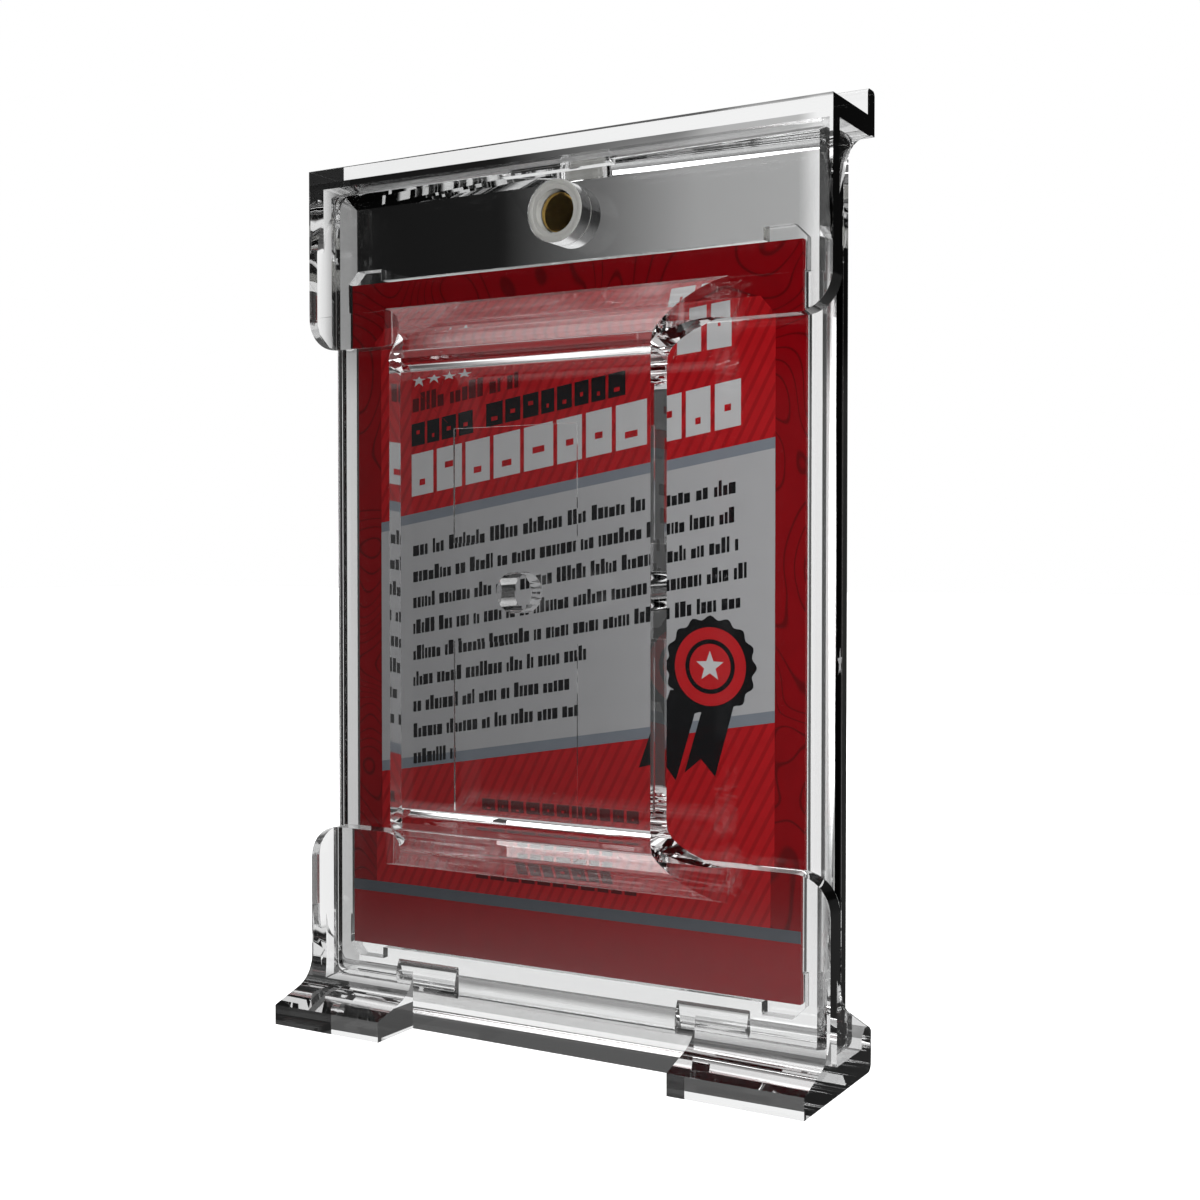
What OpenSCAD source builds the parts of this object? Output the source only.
// Clear magnetic card holder standing in a clear moulded display bracket.
// Millimetres. +Z is up, -Y is the side the card is displayed on, +Y is the
// wall side. The origin is under the middle of the bracket, at its base.

/* [Bracket] */
// Width of the bracket across its two bars
bracket_w = 75.4; // [74.6:0.1:80]
// Thickness of the back plate of each bar
plate_t = 2.9; // [2.2:0.1:2.9]
// Height of the roof's top face
roof_top = 113.75; // [113.2:0.05:115]
// Height of the upstanding front lip on the roof
top_lip = 116.9; // [114.6:0.1:118]
// Thickness of the two front lips
lip_t = 2.3; // [1.6:0.1:2.3]
// Height of the lower front lip
low_lip = 5.4; // [4.9:0.1:5.6]
// Lower edge of the top bar
bar_top_z = 89.5; // [88:0.5:92]
// Upper edge of the bottom bar
bar_low_z = 25.5; // [24:0.5:28]
// Radius of the bars' free corners
bar_r = 4.5; // [2:0.5:6]
// Thickness of the end cheeks beside the holder
cheek_t = 1.15; // [0.8:0.05:1.2]

/* [Column] */
// Width of the middle column
column_w = 37.2; // [34:0.2:38]
// Depth of the column, from the bars' rear face to the wall
column_t = 7.5; // [5:0.5:7.5]
// Radius where the column flares into a bar
flare_r = 5.5; // [4:0.5:7]
// Radius of the hollow between the column's sides and a bar
hollow_r = 8.5; // [8:0.5:9]
// Thickness of the column, which bridges from bar to bar clear of the holder
web_t = 4; // [3.5:0.1:5]
// Diameter of the wall screw hole
screw_d = 5; // [3.5:0.5:6]
// Height of the wall screw hole
screw_z = 57.5; // [50:0.5:65]
// Width of the shallow adhesive recess on the column
tape_w = 17.6; // [10:0.2:20]
// Depth of the shallow adhesive recess
tape_t = 0.3; // [0.2:0.1:0.5]

/* [Feet] */
// Width of each rear foot
foot_w = 17; // [10:0.5:18]
// Height of a foot's rear end
foot_h = 2.6; // [2:0.1:3.5]

/* [Card holder] */
// Width of the closed holder
slab_w = 72.6; // [72:0.1:72.6]
// Bottom of the closed holder above the base
slab_z0 = 3.3; // [3.3:0.05:3.4]
// Top of the closed holder above the base
slab_z1 = 111.3; // [110.6:0.1:111.3]
// Thickness of each half
shell_t = 3.75; // [3.6:0.05:3.75]
// Bevel of the front half's edges, measured across the width
bevel_x = 1.9; // [1:0.1:2.2]
// Bevel of the rear half's edges, measured across the width
bevel_rear = 1; // [0.6:0.1:1.6]
// Both bevels, measured through the thickness
bevel_y = 2.3; // [1.4:0.1:2.6]
// Radius of the holder's corners
slab_r = 1.9; // [1:0.1:3]
// Width of the thumb notch in the rear half
notch_w = 15.8; // [12:0.2:20]

/* [Card] */
// Card width
card_w = 65.4; // [63.5:0.1:65.4]
// Card height
card_h = 88.9; // [88:0.1:89]
// Card thickness
card_t = 0.9; // [0.3:0.1:1.1]
// Lower edge of the card above the base
card_z = 9.57; // [9.5:0.01:9.9]

/* [Magnets] */
// Magnet diameter
magnet_d = 5; // [4:0.1:5.6]
// Magnet thickness
magnet_t = 2.2; // [1.5:0.1:2.6]
// Outer diameter of the moulded cup that holds a magnet
sleeve_d = 7.8; // [7.4:0.1:8.4]
// Height of the magnets above the base
magnet_z = 104.9; // [103.5:0.1:105.5]

/* [Hidden] */
$fn = 64;

half_w   = bracket_w / 2;
y_bar    = 2.8;                  // rear face of the bars' plate
y_plate  = y_bar - plate_t;      // front face of the bars' plate
y_wall   = y_bar + column_t;     // plane of the wall
y_front  = -10.3;                // front of both lips
y_lip    = y_front + lip_t;      // inner face of the lower lip
roof_z   = roof_top - 2.18;      // underside of the roof
floor_z  = 3.1;                  // floor of the pocket the holder stands in
cheek_x  = half_w - cheek_t;

s_rear   = -0.2;                 // rear face of the closed holder
s_front  = -7.8;                 // front face of the closed holder
split_r  = s_rear - shell_t;     // inner face of the rear half
split_f  = s_front + shell_t;    // inner face of the front half
hx       = slab_w / 2;

tongue_r = 1.85;                 // round lower edge of the front half
piv_y    = s_front + tongue_r;
piv_z    = slab_z0 + tongue_r;
tab_r    = 3.3;                  // reach of a hinge tab from the pivot
tab_w    = 9;
tab_x    = 21;

rec_y    = -2.2;                 // floor of the card recess
rec_gap  = 0.3;
plug_in  = 0.6;                  // how far the front half's pad enters the recess
plug_gap = 0.35;
cup_gap  = 0.05;
cup_wall = 0.6;
cup_base = 0.4;
cup_in   = 0.05;                 // how far a cup's mouth sits below the outer face
end_w    = column_w / 2 + hollow_r - 0.5;   // half width of the column's ends
under    = 14;                   // tilt of the flares' inner edges

// A 2D outline in Y and Z, extruded along X.
module along_x(x0, x1) translate([x0, 0, 0]) rotate([90, 0, 90]) linear_extrude(x1 - x0) children();
// A 2D outline in X and Z, extruded along Y.
module along_y(y0, y1) translate([0, y1, 0]) rotate([90, 0, 0]) linear_extrude(y1 - y0) children();
// A disc lying across the thickness.
module disc(r, y0, y1, z) translate([0, y1, z]) rotate([90, 0, 0]) cylinder(r = r, h = y1 - y0);
module mirrored() { children(); mirror([1, 0, 0]) children(); }

// ---------------------------------------------------------------- bracket

// Quarter round cut from the corner of a bar; s is the side, d is up or down.
module corner_cut(x, z, r, s, d)
    difference() {
        translate([x + (s > 0 ? -r : -1), z + (d > 0 ? -r : -1)]) square([r + 1, r + 1]);
        translate([x - s * r, z - d * r]) circle(r = r);
    }

// The plates of the two bars, seen from the front.
module bars_2d() {
    difference() {
        translate([-half_w, bar_top_z]) square([bracket_w, roof_top - bar_top_z]);
        corner_cut(-half_w, bar_top_z, bar_r, -1, -1);
        corner_cut(half_w, bar_top_z, bar_r, 1, -1);
    }
    difference() {
        translate([-half_w, 0]) square([bracket_w, bar_low_z]);
        corner_cut(-half_w, bar_low_z, bar_r, -1, 1);
        corner_cut(half_w, bar_low_z, bar_r, 1, 1);
    }
}

// Outline of the column's block, with rounded upper corners.
module column_2d() {
    z1 = bar_top_z + 5.5;
    r = 4;
    translate([-end_w, bar_low_z - 5]) square([2 * end_w, z1 - bar_low_z + 5 - r]);
    translate([-end_w + r, bar_low_z - 5]) square([2 * (end_w - r), z1 - bar_low_z + 5]);
    for (s = [-1, 1]) translate([s * (end_w - r), z1 - r]) circle(r = r);
}

// Open bay beside the column, up to a bar's edge, with its rounded corner.
// One bay hangs from each bar and they overlap halfway up.
module bay_2d() {
    translate([column_w / 2, -44]) square([20, 44 - flare_r]);
    translate([column_w / 2 + flare_r, -44]) square([20 - flare_r, 44]);
    translate([column_w / 2 + flare_r, -flare_r]) circle(r = flare_r);
}

// Side view of the column: it ramps from the bars out to the wall plane.
module column_side_2d() polygon([
    [y_bar - 0.6, bar_low_z - 3.2], [y_bar - 0.6, bar_low_z - 0.4], [y_bar, bar_low_z],
    [y_bar, bar_top_z], [y_bar - 0.6, bar_top_z + 0.4], [y_bar - 0.6, bar_top_z + 4.4],
    [y_bar, bar_top_z + 4.9], [y_bar + 0.7, bar_top_z + 4.3], [y_wall - 1.1, bar_top_z - 1.1],
    [y_wall - 0.3, bar_top_z - 2], [y_wall, bar_top_z - 3],
    [y_wall, bar_low_z + 3], [y_wall - 0.3, bar_low_z + 2], [y_wall - 1.1, bar_low_z + 1.1],
    [y_bar + 0.7, bar_low_z - 3.9], [y_bar, bar_low_z - 4.2]]);

// Top view of the column: a hollow curve joins its sides to the bars.
module column_top_2d() difference() {
    translate([-end_w, y_bar - 0.7]) square([2 * end_w, column_t + 0.7]);
    for (s = [-1, 1])
        translate([s * (column_w / 2 + hollow_r), y_bar + hollow_r - 0.2]) circle(r = hollow_r);
}

// Space between the column and the holder, open at both sides.
module bridge_2d() {
    r0 = 0.7;
    d = column_t - web_t;
    a = [[-1, -0.1], [0, -r0], [d - 0.9, -r0 - d + 0.9], [d - 0.25, -r0 - d - 0.1], [d, -r0 - d - 1.4]];
    polygon(concat([for (p = a) [y_bar + p[0], bar_top_z + p[1]]],
                   [for (i = [4:-1:0]) [y_bar + a[i][0], bar_low_z - a[i][1]]]));
}

module column() {
    difference() {
        intersection() {
            along_y(y_bar - 0.6, y_wall) column_2d();
            along_x(-end_w, end_w) column_side_2d();
            linear_extrude(roof_top) column_top_2d();
        }
        along_x(-end_w - 1, end_w + 1) bridge_2d();
        mirrored() {
            translate([0, y_bar, bar_top_z]) rotate([under, 0, 0]) along_y(-20, 14) bay_2d();
            translate([0, y_bar, bar_low_z]) rotate([-under, 0, 0]) mirror([0, 0, 1]) along_y(-20, 14) bay_2d();
        }
    }
}

// Roof over the holder with its upstanding front lip.
module roof_side_2d() {
    difference() {
        translate([y_front, roof_z]) square([y_bar - y_front, roof_top - roof_z]);
        translate([y_bar - 0.6, roof_top - 0.6]) difference() { square(1); circle(r = 0.6); }
    }
    translate([y_front, roof_z]) square([lip_t, top_lip - 0.6 - roof_z]);
    translate([y_front + 0.6, top_lip - 1.2]) square([lip_t - 1.2, 1.2]);
    for (x = [0.6, lip_t - 0.6]) translate([y_front + x, top_lip - 0.6]) circle(r = 0.6);
}

// Cheek between the roof and the plate, at each end.
module top_cheek_2d() polygon([
    [y_plate + 0.5, roof_z + 0.5], [y_front + 1, roof_z + 0.5], [y_front + 1, roof_z],
    [-5.9, 110.4], [-4.9, 109.95], [-3.7, 109.25], [-2.7, 108.5], [-2.05, 107.8],
    [-1.3, 106.6], [-0.6, 104.9], [y_plate, 103], [y_plate + 0.5, 103]]);

// Foot of the pocket: floor, front lip and the bevel the holder tips over.
module base_side_2d() {
    difference() {
        translate([y_front, 0]) square([y_bar - y_front, floor_z]);
        translate([y_front, 0]) difference() {
            translate([-1, -1]) square(2);
            translate([1, 1]) circle(r = 1);
        }
    }
    polygon([[y_front, floor_z - 0.1], [y_front, low_lip - 0.5], [y_front + 0.5, low_lip],
             [y_lip - 1, low_lip], [y_lip, low_lip - 1], [y_lip, floor_z - 0.1]]);
}

// Cheek between the lower lip and the plate, at each end.
module low_cheek_2d() polygon([
    [y_front + 1, 1], [y_front, floor_z], [y_front, low_lip - 0.5], [y_front + 0.5, low_lip],
    [-2.4, 9.2], [-1.2, 10.2], [-0.5, 11.4], [y_plate, 13.2], [y_plate + 0.5, 13.2], [y_plate + 0.5, 1]]);

// Rear foot: a wedge that runs up the plate in a hollow curve.
module foot_side_2d() {
    fr = 4;
    slope = 0.3;
    a = atan(slope);
    cy = y_bar + fr;
    cz = foot_h + slope * (y_wall - cy) + fr / cos(a);
    difference() {
        polygon([[y_wall, 0], [y_wall, foot_h], [cy - fr * sin(a), cz - fr * cos(a)],
                 [cy, cz], [y_bar - 0.5, cz], [y_bar - 0.5, 0]]);
        translate([cy, cz]) circle(r = fr);
    }
}

module display_bracket() color([0.86, 0.88, 0.9, 0.35])
    difference() {
        union() {
            along_y(y_plate, y_bar) bars_2d();
            column();
            along_x(-half_w, half_w) roof_side_2d();
            along_x(-half_w, half_w) base_side_2d();
            mirrored() {
                along_x(cheek_x, half_w) top_cheek_2d();
                along_x(cheek_x, half_w) low_cheek_2d();
                along_x(half_w - foot_w, half_w) foot_side_2d();
            }
        }
        // wall screw hole
        disc(screw_d / 2, y_bar - 2, y_wall + 1, screw_z);
        // adhesive recess, kept clear of the screw hole's rim
        for (z = [[bar_low_z + 5, screw_z - 6], [screw_z + 6, bar_top_z - 12]])
            translate([-tape_w / 2, y_wall - tape_t, z[0]]) cube([tape_w, 1, z[1] - z[0]]);
    }

// ----------------------------------------------------------- card holder

// Outline of one half from the front, with its rounded corners.
module slab_2d(z0 = slab_z0) {
    translate([-hx, z0 + slab_r]) square([slab_w, slab_z1 - z0 - 2 * slab_r]);
    translate([-hx + slab_r, z0]) square([slab_w - 2 * slab_r, slab_z1 - z0]);
    for (x = [-1, 1], z = [z0 + slab_r, slab_z1 - slab_r])
        translate([x * (hx - slab_r), z]) circle(r = slab_r);
}

// Top view of one half: yo is its outer face, yi its inner face.
module half_top_2d(yo, yi, bv) {
    s = yo > yi ? -1 : 1;
    polygon([[-hx + bv, yo], [hx - bv, yo], [hx, yo + s * bevel_y],
             [hx, yi], [-hx, yi], [-hx, yo + s * bevel_y]]);
}

// Side view of the rear half, bevelled above and below.
module rear_side_2d() polygon([
    [s_rear, slab_z0 + bevel_rear], [s_rear - bevel_y, slab_z0], [split_r, slab_z0],
    [split_r, slab_z1], [s_rear - bevel_y, slab_z1], [s_rear, slab_z1 - bevel_rear]]);

// Side view of the front half, with the round edge it pivots on.
module front_side_2d() {
    polygon([[split_f, piv_z], [split_f, slab_z1], [s_front + bevel_y, slab_z1],
             [s_front, slab_z1 - bevel_x], [s_front, piv_z]]);
    translate([piv_y, piv_z]) circle(r = tongue_r);
}

// Card recess outline, with relief at each corner so no card corner is touched.
module recess_2d() {
    w = card_w + 2 * rec_gap;
    h = card_h + 2 * rec_gap;
    translate([-w / 2, card_z - rec_gap]) square([w, h]);
    mirrored() {
        translate([w / 2, card_z - rec_gap + h]) relief_2d();
        translate([w / 2, card_z - rec_gap]) mirror([0, 1]) relief_2d();
    }
}

// Relief beyond one corner, its outer corner cut at 45 degrees.
module relief_2d() polygon([[-5.2, -0.1], [-5.2, 1.5], [-1.3, 1.5], [0.3, -0.1], [0.3, -4], [-5.2, -4]]);

module plug_2d() {
    w = card_w + 2 * rec_gap - 2 * plug_gap;
    h = card_h + 2 * rec_gap - 2 * plug_gap;
    translate([-w / 2, card_z - rec_gap + plug_gap]) square([w, h]);
}

// Ring sector about the pivot line; a0 is measured from the rear, upwards.
module pivot_sector(r0, r1, a0, a1, w)
    translate([w / 2, piv_y, piv_z]) rotate([0, -90, 0]) rotate([0, 0, 90 - a1])
        rotate_extrude(angle = a1 - a0) translate([r0, 0]) square([r1 - r0, w]);

module rear_shell() color([0.9, 0.91, 0.93, 0.3])
    difference() {
        intersection() {
            along_y(split_r, s_rear) slab_2d();
            along_x(-hx, hx) rear_side_2d();
            linear_extrude(slab_z1 + 1) half_top_2d(s_rear, split_r, bevel_rear);
        }
        along_y(split_r - 1, rec_y) recess_2d();
        disc(sleeve_d / 2 + cup_gap, split_r - 1, s_rear + 1, magnet_z);
        // thumb notch in the rear top edge
        translate([-notch_w / 2, s_rear - bevel_y, slab_z1 - 1.4]) cube([notch_w, 5, 5]);
        // grooves for the hinge tabs
        for (x = [-tab_x, tab_x]) translate([x, 0, 0])
            pivot_sector(tongue_r, tab_r + 0.15, -32, 50, tab_w + 0.6);
    }

module front_shell() color([0.9, 0.91, 0.93, 0.3]) {
    difference() {
        union() {
            intersection() {
                along_y(s_front, split_f) slab_2d();
                along_x(-hx, hx) front_side_2d();
                linear_extrude(slab_z1 + 1) half_top_2d(s_front, split_f, bevel_x);
            }
            along_y(split_f - 0.5, split_f + plug_in) plug_2d();
        }
        disc(sleeve_d / 2 + cup_gap, s_front - 1, split_f + 1, magnet_z);
    }
    for (x = [-tab_x, tab_x]) translate([x, 0, 0])
        pivot_sector(1.4, tab_r, -28, 0, tab_w);
}

module magnet(y0) color([0.72, 0.52, 0.22]) disc(magnet_d / 2, y0, y0 + magnet_t, magnet_z);

// Cup between y0 and y1, open at the outer face; the magnet stands on its base.
module cup(y0, y1, rear) color([0.9, 0.9, 0.86])
    difference() {
        disc(sleeve_d / 2, y0, y1, magnet_z);
        if (rear) disc(sleeve_d / 2 - cup_wall, y0 + cup_base, y1 + 1, magnet_z);
        else disc(sleeve_d / 2 - cup_wall, y0 - 1, y1 - cup_base, magnet_z);
    }

module rear_magnet() magnet(split_r + cup_in + cup_base);
module front_magnet() magnet(split_f - cup_in - cup_base - magnet_t);
module rear_magnet_sleeve() cup(split_r + cup_in, s_rear - cup_in, true);
module front_magnet_sleeve() cup(s_front + cup_in, split_f - cup_in, false);

module trading_card() color([0.55, 0.05, 0.07])
    translate([-card_w / 2, rec_y - 0.1 - card_t, card_z]) cube([card_w, card_t, card_h]);

display_bracket();
rear_shell();
front_shell();
rear_magnet();
front_magnet();
rear_magnet_sleeve();
front_magnet_sleeve();
trading_card();
